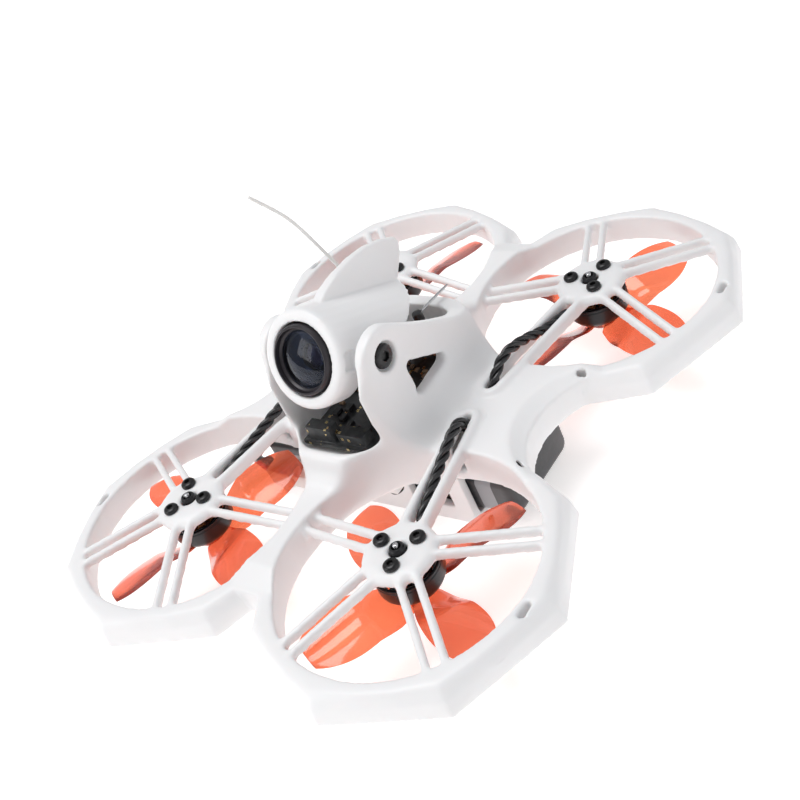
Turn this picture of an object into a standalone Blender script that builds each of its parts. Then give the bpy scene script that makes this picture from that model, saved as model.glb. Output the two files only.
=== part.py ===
"""Ducted micro racing drone, 1 cell, four pusher rotors and a tilting camera pod.

The drone stands on its battery tray.  +X is the drone's left, -Y is its nose and +Z is up.
Lengths are in millimetres and are turned into metres where a mesh is made.
"""
import math

import bmesh
import bpy
from mathutils import Matrix, Vector

MM = 0.001

# Driving dimensions
HUB_TOP = 18.6          # upper face of the motor hubs above the ground
ROTOR_X = 22.1          # rotor axis to the middle plane
ROTOR_Y = 30.6          # rotor axis to the cross plane
DUCT_BORE = 20.5        # inner radius of a duct
PROP_RADIUS = 18.8
GAP = 0.3               # clearance between touching pieces

# Heights worked out from the hub
LIP = HUB_TOP - 2.6
DUCT_FOOT = HUB_TOP - 7.6
DECK_TOP = HUB_TOP - 1.2
DECK_UNDER = HUB_TOP - 2.8
BOARD_TOP = HUB_TOP - 4.0
BOARD_UNDER = HUB_TOP - 5.0
TRAY_TOP = HUB_TOP - 8.0
CHANNEL_TOP = TRAY_TOP - 1.4
CHANNEL_FLOOR = 1.2
BATTERY_ENDS = (-29.0, 24.3)
BATTERY_HALF_DEPTH = 8.4

# Duct section: an octagon outside and a round bore inside
DUCT_CREST = 24.4
DUCT_SHOULDER = 25.2
DUCT_SKIRT = 25.6
WALL = 1.5

# Motor and propeller
SCREW_CIRCLE = 3.3
BELL_RADIUS = 5.3
BELL_TOP = HUB_TOP - 3.0
BELL_FOOT = HUB_TOP - 7.0
PROP_HUB_FOOT = HUB_TOP - 9.3

# Camera pod
TILT = math.radians(27.0)
PIVOT = Vector((0.0, -7.6, HUB_TOP + 14.5))
POD_RADIUS = 8.0
POD_BORE = 6.9
LENS_BORE = 5.95
CHEEK_INNER = 9.2
CHEEK_OUTER = 11.4

POST_X = 5.2
POST_Y = 12.8

ROTORS = {"front_left": (1, -1), "front_right": (-1, -1), "rear_left": (1, 1), "rear_right": (-1, 1)}

for old in list(bpy.data.objects):
    bpy.data.objects.remove(old, do_unlink=True)


# ---------------------------------------------------------------- materials
def finish(name, colour, roughness, metallic=0.0, alpha=1.0):
    """One Principled material, made once and found again by its name."""
    made = bpy.data.materials.get(name)
    if made:
        return made
    made = bpy.data.materials.new(name)
    made.use_nodes = True
    shader = made.node_tree.nodes["Principled BSDF"]
    shader.inputs["Base Color"].default_value = (*colour, 1.0)
    shader.inputs["Roughness"].default_value = roughness
    shader.inputs["Metallic"].default_value = metallic
    shader.inputs["Alpha"].default_value = alpha
    return made


def white_plastic():
    return finish("white_plastic", (0.86, 0.87, 0.90), 0.45)


def black_steel():
    return finish("black_steel", (0.02, 0.02, 0.022), 0.3, 0.8)


def bright_steel():
    return finish("bright_steel", (0.7, 0.7, 0.72), 0.25, 1.0)


def motor_black():
    return finish("motor_black", (0.025, 0.025, 0.028), 0.35, 0.6)


def red_clear():
    return finish("red_clear_plastic", (0.95, 0.09, 0.02), 0.15)


def circuit_black():
    return finish("circuit_black", (0.015, 0.015, 0.017), 0.4)


def wire_black():
    return finish("wire_black", (0.02, 0.02, 0.022), 0.5)


def wire_red():
    return finish("wire_red", (0.75, 0.02, 0.01), 0.5)


def lens_black():
    return finish("lens_black", (0.03, 0.025, 0.03), 0.35)


def lens_clear():
    return finish("lens_clear", (0.01, 0.012, 0.02), 0.03)


def battery_wrap():
    return finish("battery_wrap", (0.08, 0.08, 0.085), 0.5)


def plug_white():
    return finish("plug_white", (0.82, 0.8, 0.78), 0.4)


def flex_orange():
    return finish("flex_orange", (0.45, 0.12, 0.05), 0.45)


# ---------------------------------------------------------------- solid makers
def solid(bm, name):
    """Turn a bmesh in millimetres into an object in metres, faces outwards."""
    bmesh.ops.remove_doubles(bm, verts=bm.verts, dist=0.0005)
    bmesh.ops.recalc_face_normals(bm, faces=bm.faces)
    bmesh.ops.scale(bm, vec=(MM, MM, MM), verts=bm.verts)
    mesh = bpy.data.meshes.new(name)
    bm.to_mesh(mesh)
    bm.free()
    made = bpy.data.objects.new(name, mesh)
    bpy.context.collection.objects.link(made)
    return made


def loft(sections, name="shape"):
    """Closed solid through rings of equally many points, with flat ends."""
    bm = bmesh.new()
    rings = [[bm.verts.new(point) for point in section] for section in sections]
    count = len(sections[0])
    for low, high in zip(rings, rings[1:]):
        for i in range(count):
            j = (i + 1) % count
            bm.faces.new((low[i], low[j], high[j], high[i]))
    bm.faces.new(rings[0])
    bm.faces.new(rings[-1])
    return solid(bm, name)


def prism(outline, low, high, name="shape"):
    """Upright solid over a plan outline."""
    return loft([[(x, y, z) for x, y in outline] for z in (low, high)], name)


def side_prism(outline, half_width, name="shape", middle=0.0):
    """Solid whose outline lies in the Y-Z plane, as wide as given along X."""
    ends = (middle - half_width, middle + half_width)
    return loft([[(x, y, z) for y, z in outline] for x in ends], name)


def circle(radius, count, cx=0.0, cy=0.0, start=0.0):
    steps = [start + math.tau * i / count for i in range(count)]
    return [(cx + radius * math.cos(a), cy + radius * math.sin(a)) for a in steps]


def arc(cx, cy, radius, first, last, count):
    steps = [math.radians(first + (last - first) * i / (count - 1)) for i in range(count)]
    return [(cx + radius * math.cos(a), cy + radius * math.sin(a)) for a in steps]


def turned(profile, count, cx=0.0, cy=0.0, name="shape"):
    """Round solid from (radius, height) pairs, upwards, about an upright axis."""
    rings = []
    for radius, height in profile:
        rings.append([(x, y, height) for x, y in circle(radius, count, cx, cy)])
    return loft(rings, name)


def box(low, high, name="shape"):
    outline = [(low[0], low[1]), (high[0], low[1]), (high[0], high[1]), (low[0], high[1])]
    return prism(outline, low[2], high[2], name)


def combine(base, tool, operation):
    """Apply one Boolean between two solids and use up the second one."""
    step = base.modifiers.new("step", "BOOLEAN")
    step.operation = operation
    step.solver = "EXACT"
    step.object = tool
    graph = bpy.context.evaluated_depsgraph_get()
    mesh = bpy.data.meshes.new_from_object(base.evaluated_get(graph))
    base.modifiers.clear()
    old = base.data
    base.data = mesh
    bpy.data.meshes.remove(old)
    bpy.data.objects.remove(tool, do_unlink=True)
    return base


def add(base, *tools):
    for tool in tools:
        combine(base, tool, "UNION")
    return base


def cut(base, *tools):
    for tool in tools:
        combine(base, tool, "DIFFERENCE")
    return base


def keep(base, tool):
    return combine(base, tool, "INTERSECT")


def turn(shape, matrix):
    """Move a solid's points; the matrix is in millimetres."""
    scaled = matrix.copy()
    scaled.translation = matrix.translation * MM
    shape.data.transform(scaled)
    shape.data.update()
    return shape


def piece(shape, name, material, origin=None, flat=False):
    """Name a finished solid, give it its material and set its origin."""
    shape.name = name
    shape.data.name = name
    shape.data.materials.clear()
    shape.data.materials.append(material)
    if origin is not None:
        place = Vector(origin) * MM
        shape.data.transform(Matrix.Translation(-place))
        shape.location = place
    if not flat:
        shape.data.shade_smooth()
        shape.data.set_sharp_from_angle(angle=math.radians(35))
    return shape


def rotor_centre(corner):
    across, along = ROTORS[corner]
    return across * ROTOR_X, along * ROTOR_Y


def arm_angles(corner):
    """Five arms; the first one runs back over the deck and carries the leads."""
    across, along = ROTORS[corner]
    for i in range(5):
        angle = math.radians(100 + 72 * i)
        yield math.atan2(-along * math.sin(angle), across * math.cos(angle))


# ---------------------------------------------------------------- moulded frame
def eased_octagon(radius, share, cx, cy, z):
    """Ring of 24 points between a circle (share 0) and an eight-sided outline (share 1)."""
    apothem = radius * math.cos(math.pi / 8)
    ring = []
    for i in range(24):
        angle = math.tau * i / 24
        side = apothem / math.cos(angle % (math.pi / 4) - math.pi / 8)
        reach = share * side + (1 - share) * (radius + apothem) / 2
        ring.append((cx + reach * math.cos(angle), cy + reach * math.sin(angle), z))
    return ring


def duct_outer(corner):
    """Ring wall: eight-sided at the foot, nearly round where its shoulder meets the lip."""
    cx, cy = rotor_centre(corner)
    levels = ((DUCT_SKIRT, 1.0, DUCT_FOOT), (DUCT_SHOULDER, 0.8, LIP - 2.0), (DUCT_CREST, 0.55, LIP - 0.5),
              (23.6, 0.45, LIP))
    return loft([eased_octagon(radius, share, cx, cy, z) for radius, share, z in levels], "duct")


def body_outline(grow=0.0):
    """Plan of the middle body: scooped sides between the ducts, blunt ends."""
    scoop = 14.0 - grow
    left = arc(41.6, 0.0, scoop, 237.5, 122.5, 11)
    right = [(-x, -y) for x, y in left]
    nose_y = 42.5 + grow
    rear = [(22.1, 30.6), (5.0 + grow, nose_y), (-5.0 - grow, nose_y), (-22.1, 30.6)]
    nose = [(-22.1, -30.6), (-5.0 - grow, -nose_y), (5.0 + grow, -nose_y), (22.1, -30.6)]
    return left + rear + right + nose


def rounded_section(half_x, front, back, height, count=6):
    """Plan ring of the canopy: straight sides with round nose and tail."""
    corner = half_x * 0.72
    ring = []
    for sx, sy, first in ((1, 1, 0), (-1, 1, 90), (-1, -1, 180), (1, -1, 270)):
        middle_y = (back - corner) if sy > 0 else (front + corner)
        middle_x = sx * (half_x - corner)
        ring += arc(middle_x, middle_y, corner, first, first + 90, count)
    return [(x, y, height) for x, y in ring]


def canopy_outer():
    """Cheeks and rear hood as one flared block."""
    stations = ((15.6, -22.0, 23.5, -1.5), (13.6, -20.3, 21.0, 0.2), (12.2, -19.4, 18.4, 2.6),
                (11.6, -18.4, 16.4, 6.0), (CHEEK_OUTER, -17.5, 15.0, 12.0), (CHEEK_OUTER, -17.0, 13.0, 22.0))
    return loft([rounded_section(w, f, b, HUB_TOP + z) for w, f, b, z in stations], "canopy")


def canopy_inner():
    stations = ((8.6, -10.6, 10.6, -4.0), (8.6, -10.6, 10.6, -1.0), (CHEEK_INNER, -17.5, 14.4, -0.8),
                (CHEEK_INNER, -17.5, 14.0, 2.8), (CHEEK_INNER, -26.0, 13.8, 3.6), (CHEEK_INNER, -30.0, 12.4, 30.0))
    return loft([rounded_section(w, f, b, HUB_TOP + z) for w, f, b, z in stations], "hollow")


def canopy_side():
    """Side outline that is kept: chin, cheek ear, falling line to the hood rim."""
    ear = arc(-7.6, 14.2, 5.2, 172, 62, 8)
    line = [(-24.0, -4.0), (-24.0, 2.6), (-19.6, 3.4), (-17.6, 6.4), (-15.0, 10.8)] + ear
    line += [(-0.4, 15.0), (4.0, 11.8), (9.0, 8.6), (13.0, 6.6), (17.0, 6.0), (26.0, 6.0), (26.0, -4.0)]
    return side_prism([(y, HUB_TOP + z) for y, z in line], 20.0)


def window_cutter():
    """Three-cornered window through both cheeks, corners rounded."""
    corners = ((-4.0, 9.4), (2.4, 5.6), (-4.2, 5.3))
    outline = []
    for (y, z), first in zip(corners, (45, -75, 165)):
        outline += arc(y, z, 1.0, first + 100, first - 20, 5)
    return side_prism([(y, HUB_TOP + z) for y, z in outline], 20.0)


def bar(cx, cy, angle, offset, near, far, near_top, far_top, width=1.2, depth=1.7):
    """One straight rib of an arm, level or falling, with a chamfered top."""
    way = Vector((math.cos(angle), math.sin(angle), 0))
    side = Vector((-way.y, way.x, 0))
    middle = Vector((cx, cy, 0)) + side * offset
    sections = []
    for reach, top in ((near, near_top), (far, far_top)):
        base = middle + way * reach
        half = width / 2
        shape = ((-half, -depth), (half, -depth), (half, -0.3), (half - 0.3, 0), (0.3 - half, 0), (-half, -0.3))
        sections.append([tuple(base + side * s + Vector((0, 0, top + z))) for s, z in shape])
    return loft(sections, "bar")


def arm(corner, index, angle):
    """Twin bars from a hub to its duct; the first pair runs on over the deck."""
    cx, cy = rotor_centre(corner)
    near = 4.7
    if index == 0:
        return [bar(cx, cy, angle, s, near, 27.2, HUB_TOP - 0.1, HUB_TOP - 0.3, 1.3, 2.4) for s in (-1.65, 1.65)]
    return [bar(cx, cy, angle, s, near, DUCT_BORE + 1.2, HUB_TOP - 0.3, LIP - 0.1) for s in (-1.35, 1.35)]


def lead_slot_end(corner, angle):
    """Raised round end of the lead slot, standing on the deck."""
    cx, cy = rotor_centre(corner)
    x = cx + 27.2 * math.cos(angle)
    y = cy + 27.2 * math.sin(angle)
    return turned(((2.6, HUB_TOP - 2.7), (2.3, HUB_TOP - 0.6), (1.95, HUB_TOP - 0.3)), 14, x, y)


def lead_slot_cutter(corner, angle):
    cx, cy = rotor_centre(corner)
    outline = arc(27.2, 0, 0.95, -90, 90, 7) + arc(6.6, 0, 0.95, 90, 270, 5)
    shape = prism(outline, HUB_TOP - 6.0, HUB_TOP + 2.0, "slot")
    return turn(shape, Matrix.Translation((cx, cy, 0)) @ Matrix.Rotation(angle, 4, "Z"))


def lip_slot_cutter(corner, angle_deg):
    """Small oblong slot through the flat lip of a duct."""
    across, along = ROTORS[corner]
    cx, cy = rotor_centre(corner)
    angle = math.radians(angle_deg)
    angle = math.atan2(-along * math.sin(angle), across * math.cos(angle))
    shape = box((DUCT_BORE + 1.0, -1.5, LIP - 3.0), (DUCT_BORE + 2.0, 1.5, LIP + 1.0))
    return turn(shape, Matrix.Translation((cx, cy, 0)) @ Matrix.Rotation(angle, 4, "Z"))


def hub_plate(corner):
    cx, cy = rotor_centre(corner)
    levels = ((5.9, HUB_TOP - 1.8), (5.9, HUB_TOP - 1.0), (5.3, HUB_TOP - 0.3), (4.4, HUB_TOP))
    return turned(levels, 20, cx, cy, "hub")


def screw_places(corner):
    """Three motor screws of a hub, 120 degrees apart."""
    cx, cy = rotor_centre(corner)
    across, along = ROTORS[corner]
    for i in range(3):
        angle = math.radians(50 + 120 * i)
        yield cx + SCREW_CIRCLE * across * math.cos(angle), cy - SCREW_CIRCLE * along * math.sin(angle)


def make_frame():
    """The one-piece moulding: ducts, arms, deck, cheeks and hood."""
    frame = prism(body_outline(), DUCT_FOOT, LIP, "main_frame")
    for corner in ROTORS:
        add(frame, duct_outer(corner))
    deck = loft([[(x * s, y * s, z) for x, y in body_outline()]
                 for s, z in ((0.99, DECK_UNDER), (0.97, LIP + 0.2), (0.90, DECK_TOP))], "deck")
    add(frame, deck)
    pocket = loft([[(x * s, y * s, z) for x, y in body_outline()]
                   for s, z in ((0.945, DUCT_FOOT - 1), (0.945, DECK_UNDER))], "pocket")
    for corner in ROTORS:
        cut(pocket, turned(((DUCT_BORE + WALL, 0), (DUCT_BORE + WALL, 40)), 48, *rotor_centre(corner)))
    cut(frame, pocket)
    add(frame, keep(canopy_outer(), canopy_side()))
    cut(frame, canopy_inner())
    for corner in ROTORS:
        cx, cy = rotor_centre(corner)
        cut(frame, turned(((DUCT_BORE, 0), (DUCT_BORE, 60)), 48, cx, cy))
    for corner in ROTORS:
        parts = [hub_plate(corner)]
        for index, angle in enumerate(arm_angles(corner)):
            parts += arm(corner, index, angle)
            if index == 0:
                parts.append(lead_slot_end(corner, angle))
        add(frame, *parts)
        cut(frame, lead_slot_cutter(corner, next(arm_angles(corner))))
        for angle_deg in (70, -7):
            cut(frame, lip_slot_cutter(corner, angle_deg))
        cx, cy = rotor_centre(corner)
        cut(frame, turned(((1.5, HUB_TOP - 3), (1.5, HUB_TOP + 1)), 12, cx, cy))
        for x, y in screw_places(corner):
            cut(frame, turned(((0.75, HUB_TOP - 3), (0.75, HUB_TOP + 1)), 8, x, y))
    for sx in (-1, 1):
        for sy in (-1, 1):
            add(frame, turned(((1.7, BOARD_TOP + GAP), (1.7, DECK_UNDER + 0.4)), 14, sx * POST_X, sy * POST_Y))
            cut(frame, turned(((0.8, BOARD_TOP - 1), (0.8, DECK_UNDER + 0.2)), 10, sx * POST_X, sy * POST_Y))
    cut(frame, window_cutter())
    across = Matrix.Translation(PIVOT) @ Matrix.Rotation(math.radians(90), 4, "Y")
    for side in (-1, 1):
        recess = turned(((2.4, side * 10.1), (2.4, side * 14.0)), 20)
        cut(frame, turn(recess, across))
    cut(frame, turn(turned(((0.95, -20), (0.95, 20)), 12), across))
    return piece(frame, "main_frame", white_plastic())


# ---------------------------------------------------------------- rotors
def make_motor_base(corner):
    """Stator mount under the hub: flange, bearing tube and wound core."""
    cx, cy = rotor_centre(corner)
    profile = ((1.9, BELL_FOOT + 1.4), (3.7, BELL_FOOT + 1.4), (3.7, BELL_TOP - 0.6), (2.0, BELL_TOP - 0.6),
               (2.0, BELL_TOP + 0.1), (4.5, BELL_TOP + 0.3), (4.5, HUB_TOP - 1.8 - GAP))
    base = turned(profile, 16, cx, cy)
    add(base, turned(((1.2, HUB_TOP - 2.4), (1.2, HUB_TOP + 0.2), (1.0, HUB_TOP + 0.5)), 12, cx, cy))
    cut(base, turned(((0.75, 0), (0.75, 40)), 10, cx, cy))
    for x, y in screw_places(corner):
        cut(base, turned(((0.7, BELL_TOP - 0.2), (0.7, HUB_TOP)), 7, x, y))
    return piece(base, f"motor_base_{corner}", motor_black())


def make_motor_bell(corner):
    """Open cup with the magnets; its end cap carries the shaft."""
    cx, cy = rotor_centre(corner)
    outer = turned(((3.4, BELL_FOOT), (4.6, BELL_FOOT + 0.1), (BELL_RADIUS, BELL_FOOT + 1.1),
                    (BELL_RADIUS, BELL_TOP - GAP)), 20, cx, cy)
    cut(outer, turned(((4.3, BELL_FOOT + 1.0), (4.3, 40)), 20, cx, cy))
    cut(outer, turned(((0.75, 0), (0.75, 40)), 10, cx, cy))
    return piece(outer, f"motor_bell_{corner}", motor_black(), (cx, cy, BELL_FOOT))


def make_shaft(corner):
    cx, cy = rotor_centre(corner)
    shaft = turned(((0.35, PROP_HUB_FOOT - 0.6), (0.45, PROP_HUB_FOOT - 0.4), (0.45, HUB_TOP + 0.8),
                    (0.35, HUB_TOP + 0.9)), 10, cx, cy)
    return piece(shaft, f"motor_shaft_{corner}", bright_steel(), (cx, cy, BELL_FOOT))


def blade_section(radius, hand):
    """Aerofoil ring at one radius: chord, pitch and height follow it."""
    part = (radius - 2.4) / (PROP_RADIUS - 2.4)
    chord = 3.4 + 6.6 * math.sin(math.pi * min(1.0, part * 0.62 + 0.12)) - 3.2 * part ** 6
    pitch = math.radians(34 - 16 * part)
    rise = HUB_TOP - 8.3 + 1.5 * min(1.0, max(0.0, (radius - 5.0) / 4.0))
    thick = 0.95 - 0.45 * part
    sweep = 0.9 * part ** 2
    ring = []
    for s, t in ((-0.5, 0.0), (-0.1, -0.5), (0.5, -0.2), (0.5, 0.15), (-0.1, 0.5)):
        along = s * chord * math.cos(pitch) - t * thick * math.sin(pitch)
        up = s * chord * math.sin(pitch) + t * thick * math.cos(pitch)
        ring.append((radius, hand * (along + sweep), rise + up * 0.72))
    return ring


def make_propeller(corner):
    """Four-blade moulded propeller, pushed onto the shaft under the bell."""
    cx, cy = rotor_centre(corner)
    across, along = ROTORS[corner]
    hand = across * along
    hub = turned(((2.2, PROP_HUB_FOOT), (2.8, PROP_HUB_FOOT + 0.5), (2.8, BELL_FOOT - GAP)), 14, cx, cy)
    for i in range(4):
        radii = (2.0, 5.0, 8.5, 12.5, 16.5, PROP_RADIUS)
        blade = loft([blade_section(r, hand) for r in radii])
        start = math.radians(66) + math.tau * i / 4
        turn(blade, Matrix.Translation((cx, cy, 0)) @ Matrix.Rotation(start, 4, "Z"))
        add(hub, blade)
    cut(hub, turned(((0.75, 0), (0.75, 40)), 10, cx, cy))
    return piece(hub, f"propeller_{corner}", red_clear(), (cx, cy, BELL_FOOT))


def pan_screw(x, y, seat, reach, head=1.25, shank=0.45, down=True, count=9):
    """Pan-head screw with a round recess; its shank points down or up."""
    sign = 1 if down else -1
    profile = ((shank, seat - sign * reach), (shank, seat), (head, seat), (head, seat + sign * 0.45),
               (head * 0.72, seat + sign * 0.8))
    screw = turned(profile, count, x, y)
    socket = ((0.42, seat + sign * 0.35), (0.5, seat + sign * 1.2))
    return cut(screw, turned(socket, 6, x, y))


def make_hub_screws(corner):
    for number, (x, y) in enumerate(screw_places(corner), 1):
        screw = pan_screw(x, y, HUB_TOP + 0.03, 2.6)
        piece(screw, f"motor_screw_{corner}_{number}", black_steel())


def smooth_route(points, spacing):
    """Catmull-Rom curve through hand-set points, sampled about evenly."""
    knots = [Vector(p) for p in points]
    knots = [knots[0] * 2 - knots[1]] + knots + [knots[-1] * 2 - knots[-2]]
    route = []
    for a, b, c, d in zip(knots, knots[1:], knots[2:], knots[3:]):
        steps = max(1, round((c - b).length / spacing))
        for i in range(steps):
            t = i / steps
            route.append(0.5 * (2 * b + (c - a) * t + (2 * a - 5 * b + 4 * c - d) * t * t
                                + (3 * b - a - 3 * c + d) * t ** 3))
    route.append(knots[-2])
    return route


def tube(points, diameter, name, material, spacing, detail=0):
    """Round lead along a smooth route, its ends filled."""
    route = smooth_route(points, spacing)
    curve = bpy.data.curves.new(name, "CURVE")
    curve.dimensions = "3D"
    curve.bevel_depth = diameter / 2 * MM
    curve.bevel_resolution = detail
    curve.use_fill_caps = True
    spline = curve.splines.new("POLY")
    spline.points.add(len(route) - 1)
    for target, point in zip(spline.points, route):
        target.co = (*(point * MM), 1.0)
    curve.materials.append(material)
    made = bpy.data.objects.new(name, curve)
    bpy.context.collection.objects.link(made)
    return made


def make_motor_leads(corner):
    """Three twisted leads of a motor, in the slot of its first arm and down to the board."""
    cx, cy = rotor_centre(corner)
    across, along = ROTORS[corner]
    way = Vector((math.cos(next(arm_angles(corner))), math.sin(next(arm_angles(corner))), 0))
    rise = 0.6 if along < 0 else 1.5
    stations = ((6.9, -2.2), (9.0, -1.7), (13.0, -0.9), (18.0, rise - 0.6), (22.0, rise), (25.0, 0.2),
                (26.9, -1.9), (27.0, -3.4))
    route = [Vector((cx, cy, HUB_TOP + z)) + way * r for r, z in stations]
    route.append(Vector((across * 15.0, along * 2.6, BOARD_TOP + 0.1)))
    route.append(Vector((across * 13.4, along * 2.8, BOARD_TOP - 0.5)))
    return tube(route, 1.5, f"motor_leads_{corner}", wire_black(), 2.4, 1)


# ---------------------------------------------------------------- camera pod
def pod_matrix():
    """Pod frame: +X stays, +Y runs back along the barrel, +Z is its crest."""
    return Matrix.Translation(PIVOT) @ Matrix.Rotation(-TILT, 4, "X")


def barrel(profile, count=32):
    """Round solid along the pod's Y axis from (radius, y) pairs."""
    rings = []
    for radius, y in profile:
        rings.append([(x, y, z) for x, z in circle(radius, count)])
    return loft(rings)


def make_camera_pod():
    """Camera shroud: lens ring, half barrel and swept crest fin."""
    pod = barrel(((7.3, -6.4), (7.8, -6.1), (POD_RADIUS, -5.4), (POD_RADIUS, 17.0)))
    crest = [(-4.0, 6.8), (-2.6, 7.6), (-0.4, 9.6), (2.4, 11.5), (6.0, 13.2), (10.0, 14.4), (14.0, 14.9),
             (17.0, 14.7), (18.0, 13.9), (18.0, 12.4), (16.6, 8.2), (16.0, 6.8)]
    cut(pod, side_prism([(17.4, 9.0), (16.3, 8.0), (4.8, -2.0), (4.8, -12.0), (30.0, -12.0), (30.0, 9.0)], 12.0))
    add(pod, loft([[(x * (1.0 if z < 8 else 0.55 + 0.45 * (15.0 - z) / 7.0), y, z) for y, z in crest]
                   for x in (-1.1, 1.1)]))
    cut(pod, barrel(((POD_BORE, -2.2), (POD_BORE, 40.0))))
    cut(pod, barrel(((LENS_BORE, -9.0), (LENS_BORE, 0.0))))
    cut(pod, box((-12, -1.2, -12), (12, 30, -2.0)))
    for side in (-1, 1):
        boss = turned(((2.6, side * 7.0), (2.6, side * (CHEEK_INNER - GAP))), 20)
        add(pod, turn(boss, Matrix.Rotation(math.radians(90), 4, "Y")))
        low = min(side * 7.1, side * 12.0)
        high = max(side * 7.1, side * 12.0)
        cut(pod, box((low, -5.2, -1.5), (high, -2.9, 1.5)))
    cut(pod, turn(turned(((0.75, -12), (0.75, 12)), 12), Matrix.Rotation(math.radians(90), 4, "Y")))
    turn(pod, pod_matrix())
    return piece(pod, "camera_pod", white_plastic(), PIVOT)


def make_camera_body():
    """Sensor housing behind the lens, square with cut corners, screwed at both sides."""
    half, slant = 4.9, 1.5
    outline = [(half, half - slant), (half - slant, half), (slant - half, half), (-half, half - slant),
               (-half, slant - half), (slant - half, -half), (half - slant, -half), (half, slant - half)]
    body = loft([[(x, y, z) for x, z in outline] for y in (-0.7, 6.0)])
    cut(body, turn(turned(((0.75, -12), (0.75, 12)), 12), Matrix.Rotation(math.radians(90), 4, "Y")))
    add(body, box((-3.0, 5.8, -2.0), (3.0, 7.2, 0.2)))
    turn(body, pod_matrix())
    return piece(body, "camera_body", circuit_black(), PIVOT)


def make_lens():
    rim = barrel(((5.25, -7.0), (5.65, -6.6), (5.65, -1.0)), 28)
    cut(rim, barrel(((5.0, -8.0), (4.9, -6.0), (4.35, -5.4)), 28))
    turn(rim, pod_matrix())
    piece(rim, "lens_barrel", lens_black(), PIVOT)
    glass = barrel(((0.8, -6.9), (2.6, -6.7), (4.0, -6.3), (4.5, -6.0), (4.05, -5.7)), 28)
    turn(glass, pod_matrix())
    piece(glass, "lens_glass", lens_clear(), PIVOT)


def make_pivot_screw(side, name):
    profile = ((0.5, 5.3), (0.5, 10.4), (2.0, 10.4), (2.0, 11.0), (1.5, 11.3))
    screw = turned(profile, 14)
    cut(screw, turned(((0.6, 10.7), (0.7, 12.0)), 6))
    turn(screw, Matrix.Rotation(math.radians(90 * side), 4, "Y"))
    turn(screw, pod_matrix())
    return piece(screw, name, black_steel(), PIVOT)


# ---------------------------------------------------------------- electronics
def board_outline():
    quarter = [(13.0, 6.5), (9.0, 10.4), (6.7, 14.0)]
    outline = []
    for sx, sy, backwards in ((1, 1, False), (-1, 1, True), (-1, -1, False), (1, -1, True)):
        part = [(sx * x, sy * y) for x, y in quarter]
        outline += part[::-1] if backwards else part
    return outline


def make_flight_controller():
    """Main board under the deck, with its chips, clamped at four lugs."""
    board = prism(board_outline(), BOARD_UNDER, BOARD_TOP)
    add(board, box((-3.5, -3.5, BOARD_TOP - 0.2), (3.5, 3.5, BOARD_TOP + 0.9)))
    add(board, box((-8.5, -9.0, BOARD_TOP - 0.2), (-4.5, -6.0, BOARD_TOP + 0.8)))
    for sx in (-1, 1):
        for sy in (-1, 1):
            cut(board, turned(((0.75, 0), (0.75, 40)), 10, sx * POST_X, sy * POST_Y))
    return piece(board, "flight_controller", circuit_black(), flat=True)


def make_video_transmitter():
    """Upper board in the canopy, standing on its plug block."""
    low = HUB_TOP + 0.4
    board = box((-7.6, -7.0, low), (7.6, 9.6, low + 0.9))
    add(board, box((-5.0, 4.4, BOARD_TOP + GAP), (5.0, 7.4, low + 0.2)))
    add(board, box((-3.2, -4.0, low + 0.7), (3.2, 2.0, low + 1.8)))
    add(board, box((-7.2, -15.4, low), (7.2, -6.5, low + 0.9)))
    add(board, box((-5.8, -15.0, low + 0.7), (-0.6, -12.8, low + 3.6)))
    add(board, box((0.4, -14.8, low + 0.7), (5.8, -12.4, low + 2.8)))
    return piece(board, "video_transmitter", circuit_black(), flat=True)


def make_usb_port():
    top = BOARD_UNDER - GAP
    shell = box((-13.6, -3.7, top - 2.4), (-8.6, 3.7, top))
    cut(shell, box((-14.0, -3.3, top - 2.0), (-9.4, 3.3, top - 0.4)))
    return piece(shell, "usb_port", bright_steel(), flat=True)


def make_bind_switch():
    """Small push switch at the board's nose edge, with its sprung button."""
    x, y = 1.8, -8.2
    body = box((x - 1.6, y - 1.6, BOARD_TOP + GAP), (x + 1.6, y + 1.6, BOARD_TOP + 1.5))
    cut(body, turned(((0.95, BOARD_TOP + 0.8), (0.95, BOARD_TOP + 3)), 12, x, y))
    piece(body, "bind_switch", bright_steel(), flat=True)
    cap = turned(((0.7, BOARD_TOP + 1.2), (0.7, BOARD_TOP + 2.3), (0.6, BOARD_TOP + 2.4)), 12, x, y)
    piece(cap, "bind_button", plug_white(), (x, y, BOARD_TOP + 1.2))


def make_camera_ribbon():
    """Flat flexible lead from the upper board up behind the camera."""
    path = [(6.6, 2.6), (6.6, 3.4), (5.2, 5.2), (3.0, 6.6), (1.6, 8.4), (1.2, 10.6), (1.5, 10.7), (2.0, 8.6),
            (3.3, 7.0), (5.5, 5.6), (7.0, 3.6), (7.0, 2.6)]
    ribbon = side_prism([(y, HUB_TOP + z - 1.0) for y, z in path], 2.6, middle=3.2)
    return piece(ribbon, "camera_ribbon", flex_orange())


def make_antennas():
    """Long white whip and short steel stick, both stiff enough to stand by themselves."""
    foot = HUB_TOP + 1.3 + GAP
    whip = [(-6.4, 8.6, foot), (-6.5, 8.6, foot + 6), (-7.2, 7.9, foot + 15), (-7.8, 6.0, foot + 22.4),
            (-8.1, 3.2, foot + 29.8), (-8.4, -1.4, foot + 37)]
    tube(whip, 0.7, "whip_antenna", plug_white(), 4.0)
    base = turned(((0.75, foot), (0.75, foot + 5.0), (0.9, foot + 5.4), (0.9, foot + 7.2)), 10, 3.6, 8.8)
    piece(base, "short_antenna_base", circuit_black())
    stick = [(3.6, 10.2, foot + 6.6), (3.6, 13.4, foot + 6.3), (3.6, 17.8, foot + 5.8)]
    tube(stick, 0.5, "short_antenna_rod", bright_steel(), 4.0)


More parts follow.
